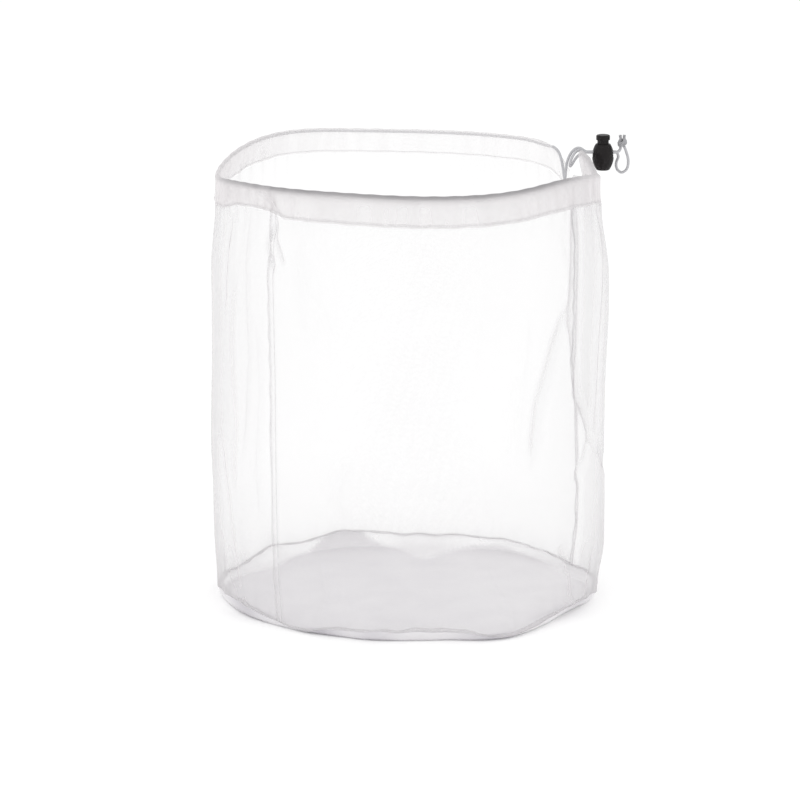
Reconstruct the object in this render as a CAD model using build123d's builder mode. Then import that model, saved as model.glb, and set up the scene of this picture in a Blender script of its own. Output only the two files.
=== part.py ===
from build123d import *

import math
import os

# A round mesh laundry bag with a drawcord. Millimetres, +Z up, the origin at the middle of its base.
# The front is -Y. Angles run round the bag from the front towards +X.

# driving dimensions
bag_diameter = 440.0
bag_height = 480.0
rim_diameter = 418.0  # the hem draws the mouth in a little
mesh_thickness = 0.6
hem_height = 31.0
cord_diameter = 3.2
seam_width = 8.0  # cloth turned in at each side seam
base_seam_width = 10.0
left_seam_angle = -44.0
right_seam_angle = 118.0
casing_gap_ahead = 4.0  # degrees left open in the hem for the cord, ahead of the right seam
casing_gap_behind = 12.0  # and behind it
thread_width = 0.5

# wall
bag_radius = bag_diameter / 2
rim_radius = rim_diameter / 2
seam_thickness = 2 * mesh_thickness
base_top = mesh_thickness
wall_bottom = base_top + seam_thickness
shoulder_height = 0.86 * bag_height  # where the wall starts to draw in
corner_height = 0.1 * bag_height  # where it has filled out above the base
corner_inset = 2.0
foot_radius = bag_radius - corner_inset
hem_bottom = bag_height - hem_height

# hem casing, in section a loop round the cord that closes to a sewn foot
casing_slack = 0.9  # between the cord and the outside of its casing
casing_loop_radius = cord_diameter / 2 + casing_slack
casing_loop_centre = bag_height - casing_loop_radius
casing_foot_width = 3 * mesh_thickness
casing_foot_height = 5.0

# cord lock: a barrel with a sprung plunger, both pierced by a slot for the two cords
lock_x = 214.5
lock_y = 95.0
lock_z = 473.0  # middle of the barrel
barrel_height = 29.0
barrel_top_radius = 8.2
barrel_middle_radius = 12.0
barrel_bottom_radius = 7.0
barrel_edge_round = 1.0
bore_radius = 6.4
plunger_clearance = 0.08
plunger_travel = 4.5
cap_radius = 7.7
cap_height = 5.5
cap_round = 1.8
cap_gap = plunger_travel + 0.4
cord_level = 5.5  # cords pass this far above the middle of the barrel
cord_half_spacing = 1.8
slot_clearance = 0.3
slot_corner = 0.8
spring_height = 10.0
spring_radius = 4.8
spring_wire = 0.8
spring_turns = 4.5
spring_end_gap = 0.05
plunger_foot = 3.2  # solid plunger below its slot

cord_z = lock_z + cord_level
slot_half_width = cord_half_spacing + cord_diameter / 2 + slot_clearance
slot_grip = cord_diameter / 2 + slot_clearance
slot_height = 2 * slot_grip + plunger_travel
plunger_bottom = cord_level - slot_grip - plunger_foot
bore_floor = plunger_bottom - spring_height

# knot beyond the lock
knot_x = 235.8
knot_y = lock_y
knot_radius = 5.4
knot_bottom = 484.0
knot_height = 10.0
tip_length = 4.0
tip_half_spacing = 2.0
tip_root = 1.0  # of each tip inside the knot
tail_into_knot = 0.8

# cord tails, each from its end of the casing through the lock to the knot
rim_ahead = right_seam_angle - casing_gap_ahead
rim_behind = right_seam_angle + casing_gap_behind
casing_span = 360 - casing_gap_ahead - casing_gap_behind


def around(angle):
    """An XZ plane turned so that its X axis points out from the bag at this angle."""
    return Plane.XZ.rotated((0, 0, angle - 90))


def rim_point(angle):
    """The middle of the cord in the casing at this angle."""
    middle = around(angle).from_local_coords(Vector(rim_radius, casing_loop_centre, 0))
    return (middle.X, middle.Y, middle.Z)


front_tail_route = [
    rim_point(rim_ahead),
    (187.9, 91.8, 476.4),
    (183.2, 95.2, 469.8),
    (179.5, 92.5, 463.5),
    (177.3, 86.5, 463.5),
    (178.5, 83.5, 471.5),
    (183.0, 87.5, 479.5),
    (189.3, 92.4, 482.2),
    (195.2, lock_y - cord_half_spacing, cord_z),
    (229.5, lock_y - cord_half_spacing, cord_z),
    (233.8, 94.2, 480.5),
    (knot_x - 1.8, knot_y, knot_bottom + tail_into_knot),
]
rear_tail_route = [
    rim_point(rim_behind),
    (165.0, 128.4, 475.5),
    (168.6, 121.8, 468.0),
    (170.6, 115.6, 458.5),
    (171.6, 108.4, 450.2),
    (172.2, 100.2, 446.6),
    (172.9, 93.6, 450.6),
    (173.4, 92.2, 459.6),
    (175.0, 95.5, 469.0),
    (180.0, 100.5, 478.5),
    (187.8, 100.6, 483.4),
    (195.2, lock_y + cord_half_spacing, cord_z),
    (229.5, lock_y + cord_half_spacing, cord_z),
    (232.4, 100.6, 472.5),
    (229.0, 103.0, 465.0),
    (230.0, 101.5, 457.5),
    (235.8, 99.0, 453.8),
    (241.8, 96.8, 459.0),
    (243.0, 95.3, 468.0),
    (241.2, 95.0, 476.8),
    (knot_x + 2.2, knot_y, knot_bottom + tail_into_knot),
]


arc_share = 0.45  # of the shorter run on each side of a bend


def bend_radii(route):
    """One radius for each bend of a route, as large as its two runs allow."""
    points = [Vector(*place) for place in route]
    radii = []
    for before, here, after in zip(points, points[1:], points[2:]):
        run_in = here - before
        run_out = after - here
        turn = math.radians(run_in.get_angle(run_out))
        radii.append(arc_share * min(run_in.length, run_out.length) / math.tan(turn / 2))
    return radii


def wall_corners():
    """Half the bag's upright section, out and back along the cloth's two faces."""
    outside = [
        (foot_radius, wall_bottom),
        (bag_radius, corner_height),
        (bag_radius, shoulder_height),
        (rim_radius + mesh_thickness / 2, hem_bottom),
    ]
    inside = [(radius - mesh_thickness, height) for radius, height in reversed(outside)]
    return outside + inside


def seam_corners():
    """The same section for a side seam: as deep as the cloth that is turned in."""
    outside = wall_corners()[:4]
    inside = [(radius - seam_width, height) for radius, height in reversed(outside)]
    return outside + inside


os.makedirs("parts", exist_ok=True)

seam_angle_width = math.degrees(seam_thickness / bag_radius)
left_edge = left_seam_angle + seam_angle_width / 2
right_edge = right_seam_angle - seam_angle_width / 2
front_span = right_edge - left_edge
rear_span = 360 - front_span - 2 * seam_angle_width

with BuildPart() as front_side_panel:
    with BuildSketch(around(left_edge)):
        with BuildLine():
            Polyline(*wall_corners(), close=True)
        make_face()
    revolve(axis=Axis.Z, revolution_arc=front_span)
front_side_panel.part.label = "front_side_panel"

with BuildPart() as rear_side_panel:
    with BuildSketch(around(right_edge + seam_angle_width)):
        with BuildLine():
            Polyline(*wall_corners(), close=True)
        make_face()
    revolve(axis=Axis.Z, revolution_arc=rear_span)
rear_side_panel.part.label = "rear_side_panel"

with BuildPart() as side_seam_left:
    with BuildSketch(around(left_edge - seam_angle_width)):
        with BuildLine():
            Polyline(*seam_corners(), close=True)
        make_face()
    revolve(axis=Axis.Z, revolution_arc=seam_angle_width)
side_seam_left.part.label = "side_seam_left"

with BuildPart() as side_seam_right:
    with BuildSketch(around(right_edge)):
        with BuildLine():
            Polyline(*seam_corners(), close=True)
        make_face()
    revolve(axis=Axis.Z, revolution_arc=seam_angle_width)
side_seam_right.part.label = "side_seam_right"

with BuildPart() as bottom_panel:
    with BuildSketch(Plane.XY):
        Circle(foot_radius)
    extrude(amount=mesh_thickness)
bottom_panel.part.label = "bottom_panel"

with BuildPart() as base_seam:
    with BuildSketch(Plane.XY.offset(base_top)):
        Circle(foot_radius)
        Circle(foot_radius - base_seam_width, mode=Mode.SUBTRACT)
    extrude(amount=seam_thickness)
base_seam.part.label = "base_seam"


def casing_loop(start, span, loop_radius, foot_width, foot_bottom):
    """A solid turned round the bag: a round top on two flat sides that come together at the foot."""
    with BuildPart() as loop:
        with BuildSketch(around(start)):
            with BuildLine():
                Polyline(
                    (rim_radius - loop_radius, casing_loop_centre),
                    (rim_radius - foot_width / 2, hem_bottom + casing_foot_height),
                    (rim_radius - foot_width / 2, foot_bottom),
                    (rim_radius + foot_width / 2, foot_bottom),
                    (rim_radius + foot_width / 2, hem_bottom + casing_foot_height),
                    (rim_radius + loop_radius, casing_loop_centre),
                )
                ThreePointArc(
                    (rim_radius + loop_radius, casing_loop_centre),
                    (rim_radius, casing_loop_centre + loop_radius),
                    (rim_radius - loop_radius, casing_loop_centre),
                )
            make_face()
        revolve(axis=Axis.Z, revolution_arc=span)
    return loop.part


casing_lengths = {
    "hem_casing_front": (left_seam_angle, rim_ahead - left_seam_angle),
    "hem_casing_rear": (rim_behind, 360 + left_seam_angle - rim_behind),
}
hem_casings = []
for casing_name, (start, span) in casing_lengths.items():
    outside = casing_loop(start, span, casing_loop_radius, casing_foot_width, hem_bottom)
    inside = casing_loop(
        start, span, casing_loop_radius - mesh_thickness, mesh_thickness, hem_bottom + mesh_thickness
    )
    with BuildPart() as hem_casing:
        add(outside)
        add(inside, mode=Mode.SUBTRACT)
    hem_casing.part.label = casing_name
    hem_casings.append(hem_casing.part)

# threads: a row of stitches round the hem's foot, one down each side seam and one round the base seam
thread_height = hem_bottom + casing_foot_height / 2
with BuildPart() as hem_thread:
    for side in (-1, 1):
        middle = rim_radius + side * (casing_foot_width + thread_width) / 2
        with BuildSketch(around(rim_behind)):
            with Locations((middle, thread_height)):
                Rectangle(thread_width, thread_width)
        revolve(axis=Axis.Z, revolution_arc=casing_span)
hem_thread.part.label = "hem_thread"

base_thread_radius = foot_radius - base_seam_width + thread_width
with BuildPart() as base_thread:
    with BuildSketch(Plane.XY.offset(wall_bottom)):
        Circle(base_thread_radius + thread_width)
        Circle(base_thread_radius, mode=Mode.SUBTRACT)
    extrude(amount=thread_width)
base_thread.part.label = "base_thread"

side_threads = []
thread_angle = math.degrees(thread_width / bag_radius)
thread_starts = {
    "side_thread_left": left_edge,
    "side_thread_right": right_edge - thread_angle,
}
thread_back = seam_corners()[4:]
thread_face = [(radius + thread_width, height) for radius, height in reversed(thread_back)]
for thread_name, thread_start in thread_starts.items():
    with BuildPart() as side_thread:
        with BuildSketch(around(thread_start)):
            with BuildLine():
                Polyline(*thread_back, *thread_face, close=True)
            make_face()
        revolve(axis=Axis.Z, revolution_arc=thread_angle)
    side_thread.part.label = thread_name
    side_threads.append(side_thread.part)

with BuildPart() as drawcord:
    with BuildSketch(around(rim_behind)):
        with Locations((rim_radius, casing_loop_centre)):
            Circle(cord_diameter / 2)
    revolve(axis=Axis.Z, revolution_arc=casing_span)
drawcord.part.label = "drawcord"

tail_routes = {
    "drawcord_tail_front": front_tail_route,
    "drawcord_tail_rear": rear_tail_route,
}
tails = []
for tail_name, route in tail_routes.items():
    radii = bend_radii(route)
    with BuildPart() as tail:
        with BuildLine():
            path = FilletPolyline(*route, radius=radii)
        with BuildSketch(Plane(origin=path @ 0, z_dir=path % 0)):
            Circle(cord_diameter / 2)
        sweep()
    tail.part.label = tail_name
    tails.append(tail.part)
    volume_ratio = tail.part.volume / (math.pi * (cord_diameter / 2) ** 2 * path.length)
    print(tail_name, "length", round(path.length, 1), "volume / (section x length)", round(volume_ratio, 4))
    print("  bend radii", [round(radius, 1) for radius in radii])

with BuildPart() as cord_knot:
    with BuildSketch(Plane.XZ.offset(-knot_y)):
        with BuildLine():
            Line((knot_x, knot_bottom), (knot_x, knot_bottom + knot_height))
            ThreePointArc(
                (knot_x, knot_bottom + knot_height),
                (knot_x + knot_radius, knot_bottom + knot_height / 2),
                (knot_x, knot_bottom),
            )
        make_face()
    revolve(axis=Axis((knot_x, knot_y, 0), (0, 0, 1)))
cord_knot.part.label = "cord_knot"

with BuildPart() as cord_tips:
    with BuildSketch(Plane.XY.offset(knot_bottom + knot_height - tip_root)):
        with Locations((knot_x - tip_half_spacing, knot_y), (knot_x + tip_half_spacing, knot_y)):
            Circle(cord_diameter / 2)
    extrude(amount=tip_length + tip_root)
    fillet(cord_tips.edges().group_by(Axis.Z)[-1], radius=cord_diameter / 6)
cord_tips.part.label = "cord_tips"

with BuildPart() as cord_lock_body:
    with BuildSketch(Plane.XZ.offset(-lock_y)):
        with BuildLine():
            Polyline(
                (lock_x + barrel_bottom_radius, lock_z - barrel_height / 2),
                (lock_x, lock_z - barrel_height / 2),
                (lock_x, lock_z + barrel_height / 2),
                (lock_x + barrel_top_radius, lock_z + barrel_height / 2),
            )
            ThreePointArc(
                (lock_x + barrel_top_radius, lock_z + barrel_height / 2),
                (lock_x + barrel_middle_radius, lock_z),
                (lock_x + barrel_bottom_radius, lock_z - barrel_height / 2),
            )
        make_face()
    revolve(axis=Axis((lock_x, lock_y, 0), (0, 0, 1)))
    fillet(cord_lock_body.edges().group_by(Axis.Z)[0], radius=barrel_edge_round)
    with BuildSketch(Plane.XY.offset(lock_z + bore_floor)):
        with Locations((lock_x, lock_y)):
            Circle(bore_radius)
    extrude(amount=barrel_height, mode=Mode.SUBTRACT)
    with BuildSketch(Plane.YZ.offset(lock_x)):
        with Locations((lock_y, cord_z + slot_grip - slot_height / 2)):
            RectangleRounded(2 * slot_half_width, slot_height, slot_corner)
    extrude(amount=2 * barrel_middle_radius, both=True, mode=Mode.SUBTRACT)
cord_lock_body.part.label = "cord_lock_body"

cap_bottom = lock_z + barrel_height / 2 + cap_gap
with BuildPart() as cord_lock_button:
    with BuildSketch(Plane.XY.offset(lock_z + plunger_bottom)):
        with Locations((lock_x, lock_y)):
            Circle(bore_radius - plunger_clearance)
    extrude(amount=cap_bottom - lock_z - plunger_bottom)
    with BuildSketch(Plane.XY.offset(cap_bottom)):
        with Locations((lock_x, lock_y)):
            Circle(cap_radius)
    extrude(amount=cap_height)
    fillet(cord_lock_button.edges().group_by(Axis.Z)[-1], radius=cap_round)
    with BuildSketch(Plane.YZ.offset(lock_x)):
        with Locations((lock_y, cord_z - slot_grip + slot_height / 2)):
            RectangleRounded(2 * slot_half_width, slot_height, slot_corner)
    extrude(amount=2 * bore_radius, both=True, mode=Mode.SUBTRACT)
cord_lock_button.part.label = "cord_lock_button"

spring_pitch = (spring_height - spring_wire) / spring_turns
with BuildPart() as cord_lock_spring:
    with BuildLine():
        coil = Helix(
            pitch=spring_pitch,
            height=spring_height - spring_wire - 2 * spring_end_gap,
            radius=spring_radius,
            center=(lock_x, lock_y, lock_z + bore_floor + spring_wire / 2 + spring_end_gap),
        )
    with BuildSketch(Plane(origin=coil @ 0, z_dir=coil % 0)):
        Circle(spring_wire / 2)
    sweep(is_frenet=True)
cord_lock_spring.part.label = "cord_lock_spring"

pieces = [
    front_side_panel.part,
    rear_side_panel.part,
    side_seam_left.part,
    side_seam_right.part,
    bottom_panel.part,
    base_seam.part,
    *hem_casings,
    hem_thread.part,
    base_thread.part,
    *side_threads,
    drawcord.part,
    *tails,
    cord_knot.part,
    cord_tips.part,
    cord_lock_body.part,
    cord_lock_button.part,
    cord_lock_spring.part,
]
for piece in pieces:
    export_step(piece, f"parts/{piece.label}.step")
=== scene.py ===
import math

import bpy
import numpy as np
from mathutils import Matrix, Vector, noise


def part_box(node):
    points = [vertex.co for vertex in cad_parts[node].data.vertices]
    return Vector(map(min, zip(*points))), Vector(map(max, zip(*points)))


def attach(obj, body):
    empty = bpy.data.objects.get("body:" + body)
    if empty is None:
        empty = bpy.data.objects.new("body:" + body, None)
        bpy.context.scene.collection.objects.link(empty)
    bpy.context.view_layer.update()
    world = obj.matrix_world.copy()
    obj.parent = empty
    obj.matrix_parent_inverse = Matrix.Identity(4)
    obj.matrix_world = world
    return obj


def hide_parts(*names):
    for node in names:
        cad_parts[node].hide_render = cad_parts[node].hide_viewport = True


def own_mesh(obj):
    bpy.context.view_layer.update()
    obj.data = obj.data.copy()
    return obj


# A round laundry bag of fine white net, open at the top, with a drawcord hem and a black cord lock.
# Metres. The front is -Y, and angles run round the bag from the front towards +X.

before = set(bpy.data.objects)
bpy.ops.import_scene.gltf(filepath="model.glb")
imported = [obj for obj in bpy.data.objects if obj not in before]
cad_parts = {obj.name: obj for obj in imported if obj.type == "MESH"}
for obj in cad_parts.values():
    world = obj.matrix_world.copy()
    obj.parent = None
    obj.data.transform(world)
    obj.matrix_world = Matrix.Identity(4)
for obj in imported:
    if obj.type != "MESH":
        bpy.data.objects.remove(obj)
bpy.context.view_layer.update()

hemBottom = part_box("hem_casing_front")[0].z
cordLow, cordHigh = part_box("drawcord")
cordDiameter = cordHigh.z - cordLow.z
rimRadius = (cordHigh.x - cordLow.x - cordDiameter) / 2
cordLevel = (cordHigh.z + cordLow.z) / 2
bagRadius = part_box("rear_side_panel")[1].y
lockLow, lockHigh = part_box("cord_lock_body")
lockMiddle = (lockLow + lockHigh) / 2
knotLow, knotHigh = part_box("cord_knot")
knotMiddle = (knotLow + knotHigh) / 2


# camera

cameraPlace = {"location": (0.024, -5.959, 1.555), "aim": (-0.010, 0.0, 0.2245), "lens": 249.3}


def makeCamera():
    data = bpy.data.cameras.new("camera")
    data.lens = cameraPlace["lens"]
    data.clip_end = 50
    camera = bpy.data.objects.new("camera", data)
    bpy.context.scene.collection.objects.link(camera)
    camera.location = cameraPlace["location"]
    forward = Vector(cameraPlace["aim"]) - camera.location
    camera.rotation_euler = forward.to_track_quat("-Z", "Y").to_euler()
    bpy.context.scene.camera = camera


makeCamera()
print("camera placed")


# helpers

def around(angle, radius, height):
    turn = math.radians(angle)
    return Vector((radius * math.sin(turn), -radius * math.cos(turn), height))


def aroundAll(angle, radius, height):
    turn = np.radians(angle)
    return np.stack([radius * np.sin(turn), -radius * np.cos(turn), height + 0 * turn], axis=-1)


def smooth(low, high, value):
    share = np.clip((value - low) / (high - low), 0.0, 1.0)
    return share * share * (3 - 2 * share)


def bump(centre, width, value):
    return np.exp(-((value - centre) / width) ** 2)


def turnBetween(angle, other):
    return (angle - other + 180) % 360 - 180


def swells(places, angle):
    # soft rises and dips round the bag, each (angle, degrees wide, millimetres), summed in metres
    total = 0.0 * angle
    for place, width, amount in places:
        total = total + amount / 1000 * bump(0, width, turnBetween(angle, place))
    return total


def ripples(points, size, seed=0.0):
    # one soft random value for each point
    return np.array([noise.noise((x / size + seed, y / size, z / size)) for x, y, z in points])


def creaseField(angle, height, crease):
    # how near each point of the cloth is to a crease: 1 on its line, 0 past its width, less towards its ends
    middle = crease["line"][0][0]
    across = np.radians(turnBetween(angle, middle)) * bagRadius
    line = [(math.radians(turnBetween(a, middle)) * bagRadius, z / 1000) for a, z in crease["line"]]
    spans = [math.dist(before, after) for before, after in zip(line, line[1:])]
    nearest = np.full(np.shape(across), 9.0)
    part = np.zeros(np.shape(across))
    done = 0.0
    for (x, z), (nextX, nextZ), span in zip(line, line[1:], spans):
        share = ((across - x) * (nextX - x) + (height - z) * (nextZ - z)) / span ** 2
        share = np.clip(share, 0, 1)
        gap = np.hypot(across - x - share * (nextX - x), height - z - share * (nextZ - z))
        part = np.where(gap < nearest, (done + share * span) / sum(spans), part)
        nearest = np.minimum(gap, nearest)
        done += span
    fade = crease.get("fade", 0.2)
    ends = smooth(-0.02, fade, part) * (1 - smooth(1 - fade, 1.02, part))
    side = np.clip(1 - nearest / (crease["width"] / 1000), 0, 1)
    return side ** 1.6 * ends


def deselectAll():
    bpy.ops.object.select_all(action="DESELECT")


def setAttribute(mesh, name, values):
    attribute = mesh.attributes.new(name, "FLOAT", "POINT")
    attribute.data.foreach_set("value", np.asarray(values, dtype=np.float32))


def meshPoints(mesh):
    points = np.zeros(len(mesh.vertices) * 3)
    mesh.vertices.foreach_get("co", points)
    return points.reshape(-1, 3)


def faceCorners(mesh):
    corners = np.zeros(len(mesh.loops), dtype=np.int32)
    mesh.loops.foreach_get("vertex_index", corners)
    return corners


def outwardFrom(points):
    # level directions away from the bag's axis
    level = points * np.array([1, 1, 0])
    return level / np.linalg.norm(level, axis=-1, keepdims=True)


def gridSheet(name, across, along, place, width, length):
    # a grid laid by place(u, v), which gives its points, layers of cloth and shade; UVs in metres of cloth
    deselectAll()
    bpy.ops.mesh.primitive_grid_add(x_subdivisions=across, y_subdivisions=along, size=2)
    sheet = bpy.context.active_object
    sheet.name = name
    mesh = sheet.data
    u, v, _ = ((meshPoints(mesh) + 1) / 2).T
    points, layers, shade = place(u, v)
    mesh.vertices.foreach_set("co", points.ravel())
    corners = faceCorners(mesh)
    uvs = np.stack([u[corners] * width, v[corners] * length], axis=-1)
    mesh.uv_layers.active.data.foreach_set("uv", uvs.ravel())
    setAttribute(mesh, "layers", layers + 0 * u)
    setAttribute(mesh, "shade", shade + 0 * u)
    mesh.update()
    bpy.ops.object.shade_smooth()
    return sheet


def finishPiece(piece, body, material, replaced=()):
    piece.data.materials.clear()
    piece.data.materials.append(material)
    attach(piece, body)
    if replaced:
        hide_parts(*replaced)
    return piece


# materials

def newMaterial(name):
    material = bpy.data.materials.new(name)
    material.use_nodes = True
    nodes = material.node_tree.nodes
    return material, nodes, material.node_tree.links, nodes["Principled BSDF"]


def mathNode(nodes, links, operation, first, second=None, clamp=False):
    node = nodes.new("ShaderNodeMath")
    node.operation = operation
    node.use_clamp = clamp
    for socket, value in zip(node.inputs, (first, second)):
        if value is None:
            continue
        if isinstance(value, (int, float)):
            socket.default_value = value
        else:
            links.new(value, socket)
    return node.outputs[0]


netLook = {
    "pitch": 0.00078,  # from hole to hole
    "rowShare": 0.62,  # height of a row of holes, as a share of the pitch
    "threadLevel": -0.66,  # where the lattice turns to thread, from -1, none, to 1, all
    "threadEdge": 0.3,  # softness of a thread's edge
    "through": 0.922,  # share of light that passes one layer, seen straight on
    "blurring": 1.6,  # threads run together where the cloth turns away
    "leastBlur": 0.6,
    "leastCosine": 0.18,
    "cloudScale": 22.0,
    "drift": 0.35,  # how far the clouds thin and thicken the threads
    "mottle": 0.3,  # how far they darken them
    "roughness": 0.62,
    "bump": 0.07,
}


def netMaterial(name, colour, shadow):
    # thin threads round staggered holes. "layers" says how many thicknesses lie together, and the cloth
    # closes up where it is seen along its face, as a net does. "shade" turns colour towards shadow.
    material, nodes, links, shader = newMaterial(name)
    uv = nodes.new("ShaderNodeUVMap")
    parts = nodes.new("ShaderNodeSeparateXYZ")
    links.new(uv.outputs["UV"], parts.inputs[0])
    turn = 2 * math.pi / netLook["pitch"]
    columns = mathNode(nodes, links, "COSINE", mathNode(nodes, links, "MULTIPLY", parts.outputs[0], turn))
    rowTurn = turn / netLook["rowShare"]
    rows = mathNode(nodes, links, "COSINE", mathNode(nodes, links, "MULTIPLY", parts.outputs[1], rowTurn))
    lattice = mathNode(nodes, links, "MULTIPLY", mathNode(nodes, links, "ADD", columns, rows), 0.5)
    cloudy = nodes.new("ShaderNodeTexNoise")
    links.new(uv.outputs["UV"], cloudy.inputs["Vector"])
    cloudy.inputs["Scale"].default_value = netLook["cloudScale"]
    cloudy.inputs["Detail"].default_value = 5.0
    cloud = mathNode(nodes, links, "SUBTRACT", cloudy.outputs["Fac"], 0.5)
    drift = mathNode(nodes, links, "MULTIPLY", cloud, netLook["drift"])
    thread = nodes.new("ShaderNodeMapRange")
    thread.interpolation_type = "SMOOTHSTEP"
    links.new(mathNode(nodes, links, "ADD", lattice, drift), thread.inputs["Value"])
    thread.inputs["From Min"].default_value = netLook["threadLevel"] - netLook["threadEdge"]
    thread.inputs["From Max"].default_value = netLook["threadLevel"] + netLook["threadEdge"]
    thread.inputs["To Min"].default_value = 0.0
    thread.inputs["To Max"].default_value = 1.0
    slant = nodes.new("ShaderNodeLayerWeight")
    slant.inputs["Blend"].default_value = 0.5
    cosine = mathNode(nodes, links, "SUBTRACT", 1.0, slant.outputs["Facing"])
    cosine = mathNode(nodes, links, "MAXIMUM", cosine, netLook["leastCosine"])
    thickness = nodes.new("ShaderNodeAttribute")
    thickness.attribute_name = "layers"
    path = mathNode(nodes, links, "DIVIDE", thickness.outputs["Fac"], cosine)
    extra = mathNode(nodes, links, "SUBTRACT", path, 1.0)
    passed = mathNode(nodes, links, "POWER", netLook["through"], extra)
    blur = mathNode(nodes, links, "MULTIPLY", slant.outputs["Facing"], netLook["blurring"])
    blur = mathNode(nodes, links, "ADD", blur, netLook["leastBlur"], clamp=True)
    even = mathNode(nodes, links, "SUBTRACT", netLook["through"], thread.outputs["Result"])
    even = mathNode(nodes, links, "MULTIPLY", even, blur)
    even = mathNode(nodes, links, "ADD", thread.outputs["Result"], even)
    clear = mathNode(nodes, links, "MULTIPLY", even, passed)
    cover = mathNode(nodes, links, "SUBTRACT", 1.0, clear, clamp=True)
    links.new(cover, shader.inputs["Alpha"])
    shaded = nodes.new("ShaderNodeAttribute")
    shaded.attribute_name = "shade"
    mottled = mathNode(nodes, links, "MULTIPLY", cloud, netLook["mottle"])
    darkness = mathNode(nodes, links, "ADD", shaded.outputs["Fac"], mottled, clamp=True)
    tint = nodes.new("ShaderNodeMix")
    tint.data_type = "RGBA"
    links.new(darkness, tint.inputs["Factor"])
    tint.inputs["A"].default_value = (*colour, 1)
    tint.inputs["B"].default_value = (*shadow, 1)
    links.new(tint.outputs["Result"], shader.inputs["Base Color"])
    relief = nodes.new("ShaderNodeBump")
    relief.inputs["Strength"].default_value = netLook["bump"]
    relief.inputs["Distance"].default_value = 0.0002
    relief.invert = True
    links.new(lattice, relief.inputs["Height"])
    links.new(relief.outputs["Normal"], shader.inputs["Normal"])
    shader.inputs["Roughness"].default_value = netLook["roughness"]
    shader.inputs["Sheen Weight"].default_value = 0.05
    shader.inputs["Specular IOR Level"].default_value = 0.25
    return material


def cordMaterial(name, colour):
    # strands of a braid, from the piece's own UV map in metres
    material, nodes, links, shader = newMaterial(name)
    uv = nodes.new("ShaderNodeUVMap")
    fibre = nodes.new("ShaderNodeTexNoise")
    links.new(uv.outputs["UV"], fibre.inputs["Vector"])
    fibre.inputs["Scale"].default_value = 2600.0
    fibre.inputs["Detail"].default_value = 3.0
    ramp = nodes.new("ShaderNodeValToRGB")
    links.new(fibre.outputs["Fac"], ramp.inputs[0])
    ramp.color_ramp.elements[0].position = 0.3
    ramp.color_ramp.elements[0].color = (*[c * 0.82 for c in colour], 1)
    ramp.color_ramp.elements[1].position = 0.7
    ramp.color_ramp.elements[1].color = (*colour, 1)
    links.new(ramp.outputs["Color"], shader.inputs["Base Color"])
    relief = nodes.new("ShaderNodeBump")
    relief.inputs["Strength"].default_value = 0.3
    relief.inputs["Distance"].default_value = 0.0001
    links.new(fibre.outputs["Fac"], relief.inputs["Height"])
    links.new(relief.outputs["Normal"], shader.inputs["Normal"])
    shader.inputs["Roughness"].default_value = 0.7
    shader.inputs["Sheen Weight"].default_value = 0.3
    return material


def plasticMaterial(name, colour, roughness):
    material, nodes, links, shader = newMaterial(name)
    place = nodes.new("ShaderNodeTexCoord")
    grain = nodes.new("ShaderNodeTexNoise")
    links.new(place.outputs["Object"], grain.inputs["Vector"])
    grain.inputs["Scale"].default_value = 3000.0
    grain.inputs["Detail"].default_value = 3.0
    scuff = nodes.new("ShaderNodeTexNoise")
    links.new(place.outputs["Object"], scuff.inputs["Vector"])
    scuff.inputs["Scale"].default_value = 220.0
    scuff.inputs["Detail"].default_value = 5.0
    gloss = nodes.new("ShaderNodeMapRange")
    links.new(scuff.outputs["Fac"], gloss.inputs["Value"])
    gloss.inputs["To Min"].default_value = roughness - 0.08
    gloss.inputs["To Max"].default_value = roughness + 0.1
    links.new(gloss.outputs["Result"], shader.inputs["Roughness"])
    tone = nodes.new("ShaderNodeMix")
    tone.data_type = "RGBA"
    links.new(scuff.outputs["Fac"], tone.inputs["Factor"])
    tone.inputs["A"].default_value = (*[c * 0.8 for c in colour], 1)
    tone.inputs["B"].default_value = (*[c * 1.25 for c in colour], 1)
    links.new(tone.outputs["Result"], shader.inputs["Base Color"])
    shader.inputs["Specular IOR Level"].default_value = 0.22
    relief = nodes.new("ShaderNodeBump")
    relief.inputs["Strength"].default_value = 0.12
    relief.inputs["Distance"].default_value = 0.0001
    links.new(grain.outputs["Fac"], relief.inputs["Height"])
    links.new(relief.outputs["Normal"], shader.inputs["Normal"])
    return material


def steelMaterial(name):
    material, nodes, links, shader = newMaterial(name)
    place = nodes.new("ShaderNodeTexCoord")
    drawn = nodes.new("ShaderNodeTexNoise")
    links.new(place.outputs["Object"], drawn.inputs["Vector"])
    drawn.inputs["Scale"].default_value = 1800.0
    gloss = nodes.new("ShaderNodeMapRange")
    links.new(drawn.outputs["Fac"], gloss.inputs["Value"])
    gloss.inputs["To Min"].default_value = 0.25
    gloss.inputs["To Max"].default_value = 0.42
    links.new(gloss.outputs["Result"], shader.inputs["Roughness"])
    shader.inputs["Base Color"].default_value = (0.58, 0.58, 0.6, 1)
    shader.inputs["Metallic"].default_value = 1.0
    return material


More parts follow.
